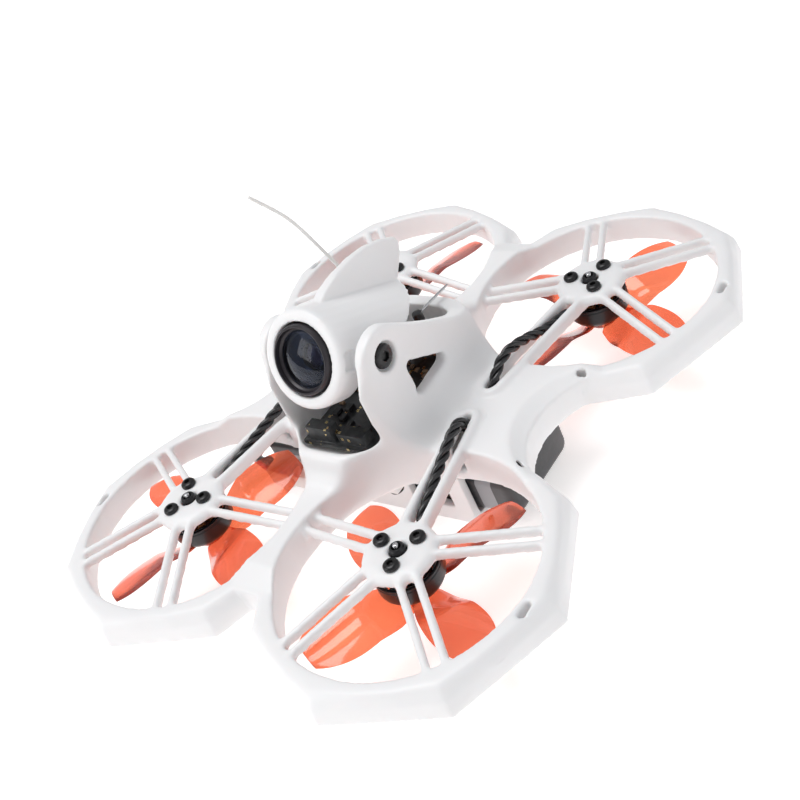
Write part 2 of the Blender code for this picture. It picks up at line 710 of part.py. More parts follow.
# ---------------------------------------------------------------- power
def make_battery_tray():
    """Sleeve under the body; four ears clamp the board against the frame."""
    tray = box((-16.5, -10.2, 0.0), (16.5, 10.2, TRAY_TOP))
    add(tray, box((-7.0, -14.6, CHANNEL_TOP), (7.0, 14.6, TRAY_TOP)))
    cut(tray, box((-20, -8.7, CHANNEL_FLOOR), (20, 8.7, CHANNEL_TOP)))
    for sx in (-1, 1):
        for sy in (-1, 1):
            x, y = sx * POST_X, sy * POST_Y
            add(tray, turned(((1.8, TRAY_TOP - 0.5), (1.8, BOARD_UNDER - GAP)), 14, x, y))
            cut(tray, turned(((0.75, 0), (0.75, 40)), 10, x, y))
    for sx in (-1, 1):
        middle = sx * 9.0
        cut(tray, box((middle - 4.2, -12, 3.4), (middle + 4.2, 12, CHANNEL_TOP - 2.0)))
    cut(tray, box((-12.5, -6.0, -1.0), (12.5, 6.0, 3.0)))
    return piece(tray, "battery_tray", white_plastic(), flat=True)


def make_tray_screws():
    number = 0
    for sx in (-1, 1):
        for sy in (-1, 1):
            number += 1
            screw = pan_screw(sx * POST_X, sy * POST_Y, CHANNEL_TOP - GAP, 6.6, down=False)
            piece(screw, f"tray_screw_{number}", black_steel())


def make_battery():
    """One-cell pack lying across the drone, its lead end further out of the tray."""
    half_y = BATTERY_HALF_DEPTH
    low, high = CHANNEL_FLOOR + GAP, CHANNEL_TOP - GAP
    middle = (low + high) / 2
    tall = (high - low) / 2
    rounding = 1.2
    outline = []
    for sy, sz, first in ((1, 1, 0), (-1, 1, 90), (-1, -1, 180), (1, -1, 270)):
        outline += arc(sy * (half_y - rounding), middle + sz * (tall - rounding), rounding, first, first + 90, 4)
    pack = loft([[(x, y, z) for y, z in outline] for x in BATTERY_ENDS])
    return piece(pack, "battery", battery_wrap(), (0, 0, middle))


def make_power_leads():
    """Plug and socket at the nose-right corner, with their two pairs of leads."""
    z = DUCT_FOOT - 2.6
    plug = box((-21.4, -15.9, z - 1.7), (-16.6, -11.1, z + 1.7))
    piece(plug, "battery_plug", plug_white(), flat=True)
    socket = box((-16.3, -15.6, z - 1.5), (-11.7, -11.4, z + 1.5))
    piece(socket, "board_socket", plug_white(), flat=True)
    for name, material, off in (("red", wire_red(), -0.95), ("black", wire_black(), 0.95)):
        out = [(-21.8, -13.5), (-24.0, -13.4), (-28.0, -12.2), (-31.2, -9.0), (-32.2, -5.4), (-31.6, -2.4),
               (-29.4, -1.4)]
        drop = (0.0, 0.0, -0.3, -1.4, -2.4, -3.0, -3.1)
        loop = [(x, y, z + d + off) for (x, y), d in zip(out, drop)]
        tube(loop, 1.5, f"battery_lead_{name}", material, 2.2, 1)
        bend = 2.3 - off * 0.9
        back = []
        for degrees, climb in ((-90, 0.0), (-60, 0.3), (-30, 0.9), (0, 2.0)):
            angle = math.radians(degrees)
            back.append((-11.3 + bend * math.cos(angle), -11.2 + bend * math.sin(angle), z + climb))
        back += [(-11.3 + bend, y, BOARD_UNDER - d) for y, d in ((-11.0, 2.0), (-10.3, 1.3), (-9.0, 1.1))]
        tube(back, 1.4, f"board_lead_{name}", material, 2.2, 1)


make_frame()
for place in ROTORS:
    make_motor_base(place)
    make_motor_bell(place)
    make_shaft(place)
    make_propeller(place)
    make_hub_screws(place)
    make_motor_leads(place)
make_camera_pod()
make_camera_body()
make_lens()
make_pivot_screw(1, "pivot_screw_left")
make_pivot_screw(-1, "pivot_screw_right")
make_flight_controller()
make_video_transmitter()
make_usb_port()
make_bind_switch()
make_camera_ribbon()
make_antennas()
make_battery_tray()
make_tray_screws()
make_battery()
make_power_leads()
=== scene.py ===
import math
import random

import bmesh
import bpy
import numpy as np
from mathutils import Matrix, Vector


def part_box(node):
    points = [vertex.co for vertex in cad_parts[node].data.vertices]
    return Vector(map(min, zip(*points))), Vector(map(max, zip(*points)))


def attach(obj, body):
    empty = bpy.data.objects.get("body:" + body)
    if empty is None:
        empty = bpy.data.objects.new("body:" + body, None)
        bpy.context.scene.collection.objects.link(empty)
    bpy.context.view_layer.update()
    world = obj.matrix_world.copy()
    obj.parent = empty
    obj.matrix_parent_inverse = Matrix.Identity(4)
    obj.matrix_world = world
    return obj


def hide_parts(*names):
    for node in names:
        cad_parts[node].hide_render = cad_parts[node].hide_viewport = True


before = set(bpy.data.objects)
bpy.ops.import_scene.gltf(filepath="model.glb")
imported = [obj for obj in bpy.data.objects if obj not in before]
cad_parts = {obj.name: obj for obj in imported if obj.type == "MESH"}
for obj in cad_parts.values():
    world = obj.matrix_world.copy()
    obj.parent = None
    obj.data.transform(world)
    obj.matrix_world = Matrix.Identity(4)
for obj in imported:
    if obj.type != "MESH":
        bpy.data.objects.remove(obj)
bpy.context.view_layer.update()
MM = 0.001

# ---------------------------------------------------------------------------------------
# Camera, floor and light.  The drone stands on a large white sweep under three soft boxes,
# as small products are shot, and is seen from its front left, well from above.
scene = bpy.context.scene
scene.view_settings.view_transform = "Standard"
scene.view_settings.look = "None"
eye = Vector((127.558, -105.937, 132.531)) * MM
aim = Vector((3.789, -2.722, 18.6)) * MM
roll = -0.46293
forward = (aim - eye).normalized()
level = forward.cross(Vector((0, 0, 1))).normalized()
upright = level.cross(forward)
across = level * math.cos(roll) + upright * math.sin(roll)
above = upright * math.cos(roll) - level * math.sin(roll)
lens_data = bpy.data.cameras.new("camera")
lens_data.lens = 54.98
lens_data.sensor_width = 36.0
lens_data.clip_start = 0.005
lens_data.clip_end = 20.0
camera = bpy.data.objects.new("camera", lens_data)
scene.collection.objects.link(camera)
camera.matrix_world = Matrix.Translation(eye) @ Matrix((across, above, -forward)).transposed().to_4x4()
scene.camera = camera


class Wire:
    """An output socket; arithmetic on it adds Math nodes to its finish."""

    def __init__(self, finish, socket):
        self.finish = finish
        self.socket = socket

    def work(self, operation, first, second):
        return self.finish.add("ShaderNodeMath", {"operation": operation}, {0: first, 1: second})

    def __add__(self, other):
        return self.work("ADD", self, other)

    def __radd__(self, other):
        return self.work("ADD", other, self)

    def __rsub__(self, other):
        return self.work("SUBTRACT", other, self)

    def __mul__(self, other):
        return self.work("MULTIPLY", self, other)

    def __rmul__(self, other):
        return self.work("MULTIPLY", other, self)

    def __gt__(self, other):
        return self.work("GREATER_THAN", self, other)


class Finish:
    """A Principled material whose patterns all read Object coordinates, in metres."""

    def __init__(self, name, fixed=None):
        self.material = bpy.data.materials.new(name)
        self.material.use_nodes = True
        self.nodes = self.material.node_tree.nodes
        self.shader = self.nodes["Principled BSDF"]
        for socket, value in (fixed or {}).items():
            self.shader.inputs[socket].default_value = value
        self.place = self.add("ShaderNodeTexCoord", {}, {}, "Object")

    def add(self, kind, settings=None, values=None, output=0):
        node = self.nodes.new(kind)
        for name, value in (settings or {}).items():
            if name == "stops":
                node.color_ramp.elements[0].position, node.color_ramp.elements[0].color = value[0]
                node.color_ramp.elements[1].position, node.color_ramp.elements[1].color = value[-1]
                for position, colour in value[1:-1]:
                    node.color_ramp.elements.new(position).color = colour
            else:
                setattr(node, name, value)
        for key, value in (values or {}).items():
            self.feed(node.inputs[key], value)
        return Wire(self, node.outputs[output])

    def feed(self, socket, value):
        if isinstance(value, Wire):
            self.material.node_tree.links.new(value.socket, socket)
        else:
            socket.default_value = value

    def set(self, **values):
        names = {"colour": "Base Color", "rough": "Roughness", "metal": "Metallic", "coat": "Coat Weight",
                 "normal": "Normal", "alpha": "Alpha"}
        for name, value in values.items():
            self.feed(self.shader.inputs[names[name]], value)
        return self

    def stretched(self, stretch):
        return self.add("ShaderNodeMapping", {}, {"Vector": self.place, "Scale": stretch})

    def noise(self, size, detail=2.0, stretch=(1.0, 1.0, 1.0)):
        """Soft noise whose blots are about this many millimetres wide."""
        where = self.place if stretch == (1.0, 1.0, 1.0) else self.stretched(stretch)
        values = {"Vector": where, "Scale": 1.0 / (size * MM), "Detail": detail, "Roughness": 0.55}
        return self.add("ShaderNodeTexNoise", {}, values)

    def blend(self, share, first, second):
        values = {0: share, 6: first, 7: second}
        return self.add("ShaderNodeMix", {"data_type": "RGBA"}, values, 2)

    def step(self, value, low, high):
        values = {"Value": value, "From Min": low, "From Max": high}
        return self.add("ShaderNodeMapRange", {"clamp": True}, values)

    def bump(self, height, depth, strength=1.0):
        """Relief this many millimetres deep."""
        values = {"Height": height, "Distance": depth * MM, "Strength": strength}
        return self.add("ShaderNodeBump", {}, values, "Normal")


def mix_tone(colour, factor):
    return (*[c * factor for c in colour[:3]], 1.0)


sweep_mesh = bmesh.new()
bmesh.ops.create_grid(sweep_mesh, x_segments=1, y_segments=1, size=3.0)
sweep_data = bpy.data.meshes.new("floor")
sweep_mesh.to_mesh(sweep_data)
sweep_mesh.free()
floor = bpy.data.objects.new("floor", sweep_data)
scene.collection.objects.link(floor)
paper = Finish("white_sweep", {"Specular IOR Level": 0.1})
paper_tone = paper.blend(paper.noise(300.0), (0.93, 0.925, 0.925, 1.0), (0.96, 0.955, 0.95, 1.0))
paper.set(colour=paper_tone, rough=0.9)
floor_glow = 0.50
paper.shader.inputs["Emission Color"].default_value = (1.0, 0.985, 0.97, 1.0)
paper.shader.inputs["Emission Strength"].default_value = floor_glow
sweep_data.materials.append(paper.material)

world = bpy.data.worlds.new("studio")
scene.world = world
world.use_nodes = True
world.node_tree.nodes["Background"].inputs[0].default_value = (0.96, 0.97, 1.0, 1.0)
world.node_tree.nodes["Background"].inputs[1].default_value = 0.42


def soft_box(name, place, size, power, tone):
    """A square area light that faces the middle of the drone."""
    data = bpy.data.lights.new(name, "AREA")
    data.shape = "SQUARE"
    data.size = size
    data.energy = power
    data.color = tone
    made = bpy.data.objects.new(name, data)
    scene.collection.objects.link(made)
    place = Vector(place)
    made.location = place
    made.rotation_euler = (Vector((0, 0, 0.02)) - place).to_track_quat("-Z", "Y").to_euler()


soft_box("top_box", (-0.15, -0.10, 0.75), 0.45, 3.2, (1.0, 1.0, 1.0))
soft_box("nose_box", (-0.45, -0.65, 0.38), 0.40, 1.3, (1.0, 0.985, 0.97))
soft_box("side_box", (0.75, 0.10, 0.30), 0.35, 0.35, (0.93, 0.96, 1.0))


# ---------------------------------------------------------------------------------------
# Main frame: the body, four ring ducts, arms and canopy cheeks, one white nylon moulding.
# Its corners are rounded and its walls run into each other in soft fillets, as moulds do.
def white_nylon():
    made = Finish("white_nylon", {"Subsurface Weight": 0.10, "Subsurface Radius": (1.0, 0.7, 0.6),
                                  "Subsurface Scale": 0.0012, "Coat Roughness": 0.35, "IOR": 1.5})
    cloudy = made.noise(14.0, 3.0)
    grain = made.noise(0.22, 2.0)
    tone = made.blend(cloudy, (0.865, 0.862, 0.868, 1.0), (0.92, 0.915, 0.915, 1.0))
    made.set(colour=tone, rough=0.34 + 0.14 * grain, coat=0.10 * cloudy)
    made.set(normal=made.bump(grain * 0.6 + made.noise(1.6, 3.0) * 0.5, 0.012))
    return made.material


nylon = white_nylon()


def copy_of(node, name):
    """A merged copy of a CAD node's mesh, to be worked on."""
    shape = bmesh.new()
    shape.from_mesh(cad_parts[node].data)
    bmesh.ops.remove_doubles(shape, verts=shape.verts, dist=0.0005 * MM)
    mesh = bpy.data.meshes.new(name)
    shape.to_mesh(mesh)
    shape.free()
    made = bpy.data.objects.new(name, mesh)
    scene.collection.objects.link(made)
    return made


def settle(made, smooth=True):
    """Turn the modifiers into plain mesh."""
    bpy.context.view_layer.update()
    mesh = bpy.data.meshes.new_from_object(made.evaluated_get(bpy.context.evaluated_depsgraph_get()))
    made.modifiers.clear()
    made.data = mesh
    if smooth:
        mesh.shade_smooth()
    return made


def relax(mesh, rounds, share):
    """Draw each point towards the middle of its neighbours; share(points) says how far."""
    count = len(mesh.vertices)
    place = np.empty(count * 3)
    mesh.vertices.foreach_get("co", place)
    place = place.reshape(-1, 3)
    pairs = np.empty(len(mesh.edges) * 2, np.int32)
    mesh.edges.foreach_get("vertices", pairs)
    near, far = pairs.reshape(-1, 2).T
    around = np.maximum(np.bincount(pairs, minlength=count), 1)
    pull = share(place)
    for _ in range(rounds):
        for axis in range(3):
            line = place[:, axis]
            total = np.bincount(near, line[far], count) + np.bincount(far, line[near], count)
            place[:, axis] = line + pull * (total / around - line)
    mesh.vertices.foreach_set("co", place.ravel())
    mesh.update()


def moulded(made, grain, rounds, kept, more=None):
    """Round every edge: voxel remesh, relax, then thin the flat stretches out."""
    remesh = made.modifiers.new("remesh", "REMESH")
    remesh.mode = "VOXEL"
    remesh.voxel_size = grain * MM
    settle(made)
    relax(made.data, rounds, lambda place: np.full(len(place), 0.5))
    if more:
        relax(made.data, *more)
    thin = made.modifiers.new("thin", "DECIMATE")
    thin.ratio = kept
    return settle(made)


def fillet_zone(place):
    """Where walls meet the deck: strong low down between the ducts, none on the arms."""
    x, y, z = np.abs(place[:, 0]) / MM, np.abs(place[:, 1]) / MM, place[:, 2] / MM
    body = np.clip((18.0 - x) / 4.0, 0, 1) * np.clip((25.0 - y) / 4.0, 0, 1)
    low = np.clip((25.0 - z) / 4.0, 0, 1)
    return 0.5 * body * low


body_shell = moulded(copy_of("main_frame", "frame_moulding"), 0.36, 3, 0.42, (30, fillet_zone))
body_shell.data.materials.clear()
body_shell.data.materials.append(nylon)
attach(body_shell, "airframe")
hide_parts("main_frame")


# ---------------------------------------------------------------------------------------
# Motors: a black base screwed up under each hub, a bell that turns round it with twelve
# magnets, and a ground steel shaft.  Bell and base are turned aluminium, satin black.
ROTORS = {"front_left": (1, -1), "front_right": (-1, -1), "rear_left": (1, 1), "rear_right": (-1, 1)}
HUB_TOP = 18.6
ROTOR_X = 22.1
ROTOR_Y = 30.6
BELL_FOOT = HUB_TOP - 7.0
BELL_TOP = HUB_TOP - 3.0


def loft(rings, name, closed=False):
    """Object from rings of equally many points in millimetres; ends are filled unless closed."""
    shape = bmesh.new()
    rows = [[shape.verts.new(Vector(p) * MM) for p in ring] for ring in rings]
    count = len(rings[0])
    joins = list(zip(rows, rows[1:]))
    if closed:
        joins.append((rows[-1], rows[0]))
    for low, high in joins:
        for i in range(count):
            j = (i + 1) % count
            shape.faces.new((low[i], low[j], high[j], high[i]))
    if not closed:
        shape.faces.new(rows[0])
        shape.faces.new(rows[-1])
    bmesh.ops.recalc_face_normals(shape, faces=shape.faces)
    mesh = bpy.data.meshes.new(name)
    shape.to_mesh(mesh)
    shape.free()
    made = bpy.data.objects.new(name, mesh)
    scene.collection.objects.link(made)
    return made


def lathe(profile, count, centre=(0.0, 0.0), name="turned", closed=False):
    """Round solid from (radius, height) pairs about an upright axis."""
    rings = []
    for radius, height in profile:
        ring = []
        for i in range(count):
            angle = math.tau * i / count
            ring.append((centre[0] + radius * math.cos(angle), centre[1] + radius * math.sin(angle), height))
        rings.append(ring)
    return loft(rings, name, closed)


def finish_piece(made, name, material, body, nodes=(), angle=35.0):
    """Name, paint and shade a piece, and hang it on its body."""
    made.name = name
    made.data.name = name
    made.data.materials.clear()
    made.data.materials.append(material)
    made.data.shade_smooth()
    made.data.set_sharp_from_angle(angle=math.radians(angle))
    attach(made, body)
    if nodes:
        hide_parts(*nodes)
    return made


def joined(parts, name):
    """One mesh object from several."""
    shape = bmesh.new()
    for part in parts:
        part.data.transform(part.matrix_basis)
        shape.from_mesh(part.data)
        bpy.data.objects.remove(part, do_unlink=True)
    mesh = bpy.data.meshes.new(name)
    shape.to_mesh(mesh)
    shape.free()
    made = bpy.data.objects.new(name, mesh)
    scene.collection.objects.link(made)
    return made


def copies_tree():
    """Sets one copy of a pattern on each point, turned by the point's own 'turn'."""
    tree = bpy.data.node_groups.new("set_copies", "GeometryNodeTree")
    sockets = {}
    for label, kind in (("Points", "NodeSocketGeometry"), ("Pattern", "NodeSocketObject"),
                        ("Size", "NodeSocketFloat"), ("Finish", "NodeSocketMaterial")):
        sockets[label] = tree.interface.new_socket(label, in_out="INPUT", socket_type=kind).identifier
    tree.interface.new_socket("Copies", in_out="OUTPUT", socket_type="NodeSocketGeometry")
    kinds = {"entry": "NodeGroupInput", "leave": "NodeGroupOutput", "pattern": "GeometryNodeObjectInfo",
             "turn": "GeometryNodeInputNamedAttribute", "spread": "GeometryNodeInstanceOnPoints",
             "real": "GeometryNodeRealizeInstances", "paint": "GeometryNodeSetMaterial"}
    made = {label: tree.nodes.new(kind) for label, kind in kinds.items()}
    made["turn"].data_type = "FLOAT_VECTOR"
    made["turn"].inputs["Name"].default_value = "turn"
    join = tree.links.new
    join(made["entry"].outputs["Pattern"], made["pattern"].inputs["Object"])
    join(made["entry"].outputs["Points"], made["spread"].inputs["Points"])
    join(made["pattern"].outputs["Geometry"], made["spread"].inputs["Instance"])
    join(made["turn"].outputs["Attribute"], made["spread"].inputs["Rotation"])
    join(made["entry"].outputs["Size"], made["spread"].inputs["Scale"])
    join(made["spread"].outputs["Instances"], made["real"].inputs["Geometry"])
    join(made["real"].outputs["Geometry"], made["paint"].inputs["Geometry"])
    join(made["entry"].outputs["Finish"], made["paint"].inputs["Material"])
    join(made["paint"].outputs["Geometry"], made["leave"].inputs["Copies"])
    return tree, sockets


COPIES, COPY_INPUTS = copies_tree()


def set_copies(pattern, places, material, name, size=1.0):
    """Copies of a pattern at (point in millimetres, (rx, ry, rz)) places, as one mesh."""
    mesh = bpy.data.meshes.new(name)
    mesh.from_pydata([Vector(point) * MM for point, _ in places], [], [])
    turn = mesh.attributes.new("turn", "FLOAT_VECTOR", "POINT")
    for i, (_, angles) in enumerate(places):
        turn.data[i].vector = angles
    made = bpy.data.objects.new(name, mesh)
    scene.collection.objects.link(made)
    modifier = made.modifiers.new("copies", "NODES")
    modifier.node_group = COPIES
    modifier[COPY_INPUTS["Pattern"]] = pattern
    modifier[COPY_INPUTS["Size"]] = size
    modifier[COPY_INPUTS["Finish"]] = material
    settle(made, smooth=False)
    bpy.data.objects.remove(pattern, do_unlink=True)
    return made


def satin_black():
    made = Finish("satin_black_metal", {"Coat Roughness": 0.2})
    turning = made.noise(0.5, 2.0, (1.0, 1.0, 14.0))
    made.set(colour=made.blend(turning, (0.012, 0.012, 0.014, 1.0), (0.035, 0.034, 0.037, 1.0)),
             rough=0.26 + 0.18 * turning, metal=0.55, coat=0.15)
    made.set(normal=made.bump(turning, 0.01))
    return made.material


def ground_steel():
    made = Finish("ground_steel", {"Metallic": 1.0})
    lines = made.noise(0.6, 2.0, (1.0, 1.0, 18.0))
    made.set(colour=made.blend(lines, (0.58, 0.58, 0.60, 1.0), (0.78, 0.78, 0.79, 1.0)),
             rough=0.18 + 0.16 * lines)
    made.set(normal=made.bump(lines, 0.006))
    return made.material


def magnet_nickel():
    made = Finish("magnet_nickel", {"Metallic": 0.9})
    patches = made.noise(1.2, 3.0)
    made.set(colour=made.blend(patches, (0.30, 0.30, 0.31, 1.0), (0.46, 0.45, 0.44, 1.0)),
             rough=0.24 + 0.2 * patches)
    return made.material


def wound_copper():
    made = Finish("wound_copper", {"Metallic": 0.7})
    turns = made.add("ShaderNodeTexWave", {"bands_direction": "Z"},
                     {"Vector": made.place, "Scale": 900.0, "Distortion": 0.6})
    made.set(colour=made.blend(turns, (0.24, 0.07, 0.025, 1.0), (0.72, 0.30, 0.12, 1.0)),
             rough=0.28 + 0.2 * turns)
    made.set(normal=made.bump(turns, 0.05))
    return made.material


motor_black = satin_black()
steel = ground_steel()
nickel = magnet_nickel()
copper = wound_copper()
for corner, (across_sign, along_sign) in ROTORS.items():
    cx = across_sign * ROTOR_X
    cy = along_sign * ROTOR_Y
    # Outer wall of the bell, its floor ring, hub boss and six spokes between the vents.
    wall = lathe(((4.35, BELL_FOOT + 0.35), (4.5, BELL_FOOT + 0.1), (4.75, BELL_FOOT + 0.25),
                  (5.15, BELL_FOOT + 0.85), (5.28, BELL_FOOT + 1.25), (5.28, BELL_TOP - 0.9),
                  (5.20, BELL_TOP - 0.82), (5.20, BELL_TOP - 0.62), (5.28, BELL_TOP - 0.55),
                  (5.28, BELL_TOP - 0.36), (5.2, BELL_TOP - 0.3), (4.85, BELL_TOP - 0.3),
                  (4.85, BELL_FOOT + 1.0), (4.35, BELL_FOOT + 0.85)), 72, (cx, cy), "wall", True)
    boss = lathe(((0.5, BELL_FOOT + 0.02), (1.7, BELL_FOOT + 0.02), (1.9, BELL_FOOT + 0.2),
                  (1.9, BELL_FOOT + 0.9), (0.5, BELL_FOOT + 0.9)), 32, (cx, cy), "boss", True)
    spoke = loft([[(r, -w, BELL_FOOT + low), (r, w, BELL_FOOT + low), (r, w, BELL_FOOT + 0.85),
                   (r, -w, BELL_FOOT + 0.85)] for r, w, low in ((1.6, 0.62, 0.15), (3.0, 0.42, 0.25),
                                                               (4.6, 0.62, 0.3))], "spoke")
    spokes = set_copies(spoke, [((cx, cy, 0), (0, 0, math.tau * i / 6)) for i in range(6)], motor_black,
                        "spokes")
    bell = joined([wall, boss, spokes], "bell")
    finish_piece(bell, f"motor_bell_{corner}", motor_black, f"rotor_{corner}",
                 [f"motor_bell_{corner}"])
    magnet = loft([[(4.42, -0.9, z), (4.84, -0.95, z), (4.84, 0.95, z), (4.42, 0.9, z)]
                   for z in (BELL_FOOT + 1.1, BELL_TOP - 0.5)], "magnet")
    magnets = set_copies(magnet, [((cx, cy, 0), (0, 0, math.tau * (i + 0.5) / 12)) for i in range(12)],
                         nickel, "magnets")
    finish_piece(magnets, f"magnets_{corner}", nickel, f"rotor_{corner}")
    # Fixed part: flange under the hub, bearing tube, laminations and nine wound teeth.
    flange = lathe(((0.75, BELL_TOP + 0.1), (2.0, BELL_TOP + 0.1), (2.3, BELL_TOP + 0.2),
                    (4.35, BELL_TOP + 0.3), (4.5, BELL_TOP + 0.42), (4.5, HUB_TOP - 2.2),
                    (4.4, HUB_TOP - 2.12), (1.2, HUB_TOP - 2.12), (1.2, HUB_TOP + 0.2),
                    (1.02, HUB_TOP + 0.45), (0.75, HUB_TOP + 0.45)), 48, (cx, cy), "flange", True)
    core = lathe(((0.75, BELL_FOOT + 1.5), (1.9, BELL_FOOT + 1.5), (1.9, BELL_TOP + 0.1),
                  (0.75, BELL_TOP + 0.1)), 32, (cx, cy), "core", True)
    tooth = loft([[(r, -w, z0), (r, w, z0), (r, w, z1), (r, -w, z1)] for r, w, z0, z1 in
                  ((1.7, 0.35, BELL_FOOT + 1.8, BELL_TOP - 1.0),
                   (3.5, 0.35, BELL_FOOT + 1.8, BELL_TOP - 1.0),
                   (3.55, 1.0, BELL_FOOT + 1.7, BELL_TOP - 0.9),
                   (3.72, 1.0, BELL_FOOT + 1.7, BELL_TOP - 0.9))], "tooth")
    ninths = [((cx, cy, 0), (0, 0, math.tau * i / 9)) for i in range(9)]
    teeth = set_copies(tooth, ninths, motor_black, "teeth")
    stator = joined([flange, core, teeth], "stator")
    finish_piece(stator, f"motor_base_{corner}", motor_black, "airframe",
                 [f"motor_base_{corner}"])
    coil = loft([[(r, s * math.cos(a), BELL_FOOT + 2.4 + t * math.sin(a))
                  for a in [math.tau * k / 12 for k in range(12)]]
                 for r, s, t in ((2.1, 0.42, 0.9), (2.2, 0.62, 1.05), (3.3, 0.85, 1.05), (3.4, 0.7, 0.9))],
                "coil")
    coils = set_copies(coil, ninths, copper, "coils")
    finish_piece(coils, f"windings_{corner}", copper, "airframe", angle=60.0)
    shaft = lathe(((0.32, HUB_TOP - 9.9), (0.45, HUB_TOP - 9.75), (0.45, HUB_TOP + 0.75),
                   (0.40, HUB_TOP + 0.85), (0.32, HUB_TOP + 0.9)), 24, (cx, cy), "shaft")
    finish_piece(shaft, f"motor_shaft_{corner}", steel, f"rotor_{corner}",
                 [f"motor_shaft_{corner}"])


# ---------------------------------------------------------------------------------------
# Propellers: four broad blades each, moulded in clear red polycarbonate and pushed onto
# the shaft under the bell.  The plastic turns a deeper red where it is seen edge on.
PROP_RADIUS = 18.8
PROP_HUB_FOOT = HUB_TOP - 9.3


def clear_red():
    made = Finish("clear_red_plastic", {"Transmission Weight": 0.86, "IOR": 1.45, "Coat Roughness": 0.05})
    flow = made.noise(7.0, 2.0, (1.0, 1.0, 0.4))
    rim = made.add("ShaderNodeLayerWeight", {}, {"Blend": 0.35}, "Facing")
    tone = made.blend(flow, (1.0, 0.20, 0.085, 1.0), (1.0, 0.29, 0.14, 1.0))
    made.set(colour=made.blend(rim * 0.9, tone, (0.78, 0.026, 0.016, 1.0)), rough=0.07 + 0.05 * flow,
             coat=0.4)
    made.set(normal=made.bump(flow, 0.02))
    return made.material


clear_red_plastic = clear_red()


def blade_ring(radius, hand, count=9):
    """Closed aerofoil outline at one radius; chord, pitch and rise follow the CAD blade."""
    part = (radius - 2.4) / (PROP_RADIUS - 2.4)
    chord = 3.4 + 6.6 * math.sin(math.pi * min(1.0, part * 0.62 + 0.12)) - 3.2 * part ** 6
    pitch = math.radians(34 - 16 * part)
    rise = HUB_TOP - 8.3 + 1.5 * min(1.0, max(0.0, (radius - 5.0) / 4.0))
    thick = (0.95 - 0.45 * part) * 0.92
    sweep = 0.9 * part ** 2
    ring = []
    for side in (-1, 1):
        for i in range(count):
            t = i / count if side < 0 else 1 - i / count
            half = 0.5 * thick * math.sqrt(max(0.0, 1 - (2 * t - 1) ** 2)) * (1.2 - 0.4 * t)
            camber = 0.22 * math.sin(math.pi * t)
            s = t - 0.5
            lift = camber + side * half
            along = s * chord * math.cos(pitch) - lift * math.sin(pitch)
            up = s * chord * math.sin(pitch) + lift * math.cos(pitch)
            ring.append((radius, hand * (along + sweep), rise + up * 0.72))
    return ring


for corner, (across_sign, along_sign) in ROTORS.items():
    cx = across_sign * ROTOR_X
    cy = along_sign * ROTOR_Y
    hand = across_sign * along_sign
    stations = [2.2 + (PROP_RADIUS - 2.35) * (i / 18) ** 0.9 for i in range(19)]
    rings = [blade_ring(r, hand) for r in stations]
    tip = [sum(p[k] for p in rings[-1]) / len(rings[-1]) for k in range(3)]
    for pull, shrink in ((0.10, 0.82), (0.15, 0.5)):
        rings.append([(min(PROP_RADIUS, p[0] + pull), tip[1] + (p[1] - tip[1]) * shrink,
                       tip[2] + (p[2] - tip[2]) * shrink) for p in rings[18]])
    blade = loft(rings, "blade")
    start = math.radians(66)
    blades = set_copies(blade, [((cx, cy, 0), (0, 0, start + math.tau * i / 4)) for i in range(4)],
                        clear_red_plastic, "blades")
    hub = lathe(((0.6, PROP_HUB_FOOT), (2.0, PROP_HUB_FOOT), (2.35, PROP_HUB_FOOT + 0.12),
                 (2.7, PROP_HUB_FOOT + 0.5), (2.8, PROP_HUB_FOOT + 0.9), (2.8, BELL_FOOT - 0.45),
                 (2.65, BELL_FOOT - 0.3), (0.6, BELL_FOOT - 0.3)), 48, (cx, cy), "hub", True)
    propeller = joined([blades, hub], "propeller")
    finish_piece(propeller, f"propeller_{corner}", clear_red_plastic, f"rotor_{corner}",
                 [f"propeller_{corner}"], 50.0)


# ---------------------------------------------------------------------------------------
# Motor screws: three black pan heads with hexagon sockets on each hub, round the shaft,
# and four under the body that hold the battery tray.  Blackened steel.
def black_oxide():
    made = Finish("black_oxide_steel", {"Coat Roughness": 0.15})
    worn = made.noise(0.35, 3.0)
    made.set(colour=made.blend(worn, (0.010, 0.010, 0.011, 1.0), (0.045, 0.044, 0.045, 1.0)),
             rough=0.24 + 0.22 * worn, metal=0.7, coat=0.2)
    made.set(normal=made.bump(worn, 0.012))
    return made.material


oxide = black_oxide()


def socket_screw(head, shank, reach, name, sides=24):
    """Domed head at height 0 with a six-sided socket; the shank goes down."""
    def round_ring(radius, height):
        return [(radius * math.cos(math.tau * i / sides), radius * math.sin(math.tau * i / sides), height)
                for i in range(sides)]

    def hex_ring(radius, height):
        ring = []
        for i in range(sides):
            angle = math.tau * i / sides
            flat = math.cos(math.pi / 6) / math.cos((angle % (math.tau / 6)) - math.pi / 6)
            ring.append((radius * flat * math.cos(angle), radius * flat * math.sin(angle), height))
        return ring

    rings = [round_ring(shank * 0.6, -reach), round_ring(shank, -reach + 0.2), round_ring(shank, 0.0),
             round_ring(head * 0.96, 0.0), round_ring(head, 0.08), round_ring(head, 0.34),
             round_ring(head * 0.93, 0.56), round_ring(head * 0.78, 0.72), round_ring(head * 0.55, 0.80),
             hex_ring(head * 0.44, 0.79), hex_ring(head * 0.42, 0.72), hex_ring(head * 0.40, 0.30),
             round_ring(head * 0.12, 0.22)]
    return loft(rings, name)


def screw_places(corner):
    """Places of the three screws of a hub, taken from their CAD solids."""
    places = []
    for number in (1, 2, 3):
        low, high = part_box(f"motor_screw_{corner}_{number}")
        middle = (low + high) / 2 / MM
        places.append((middle.x, middle.y))
    return places


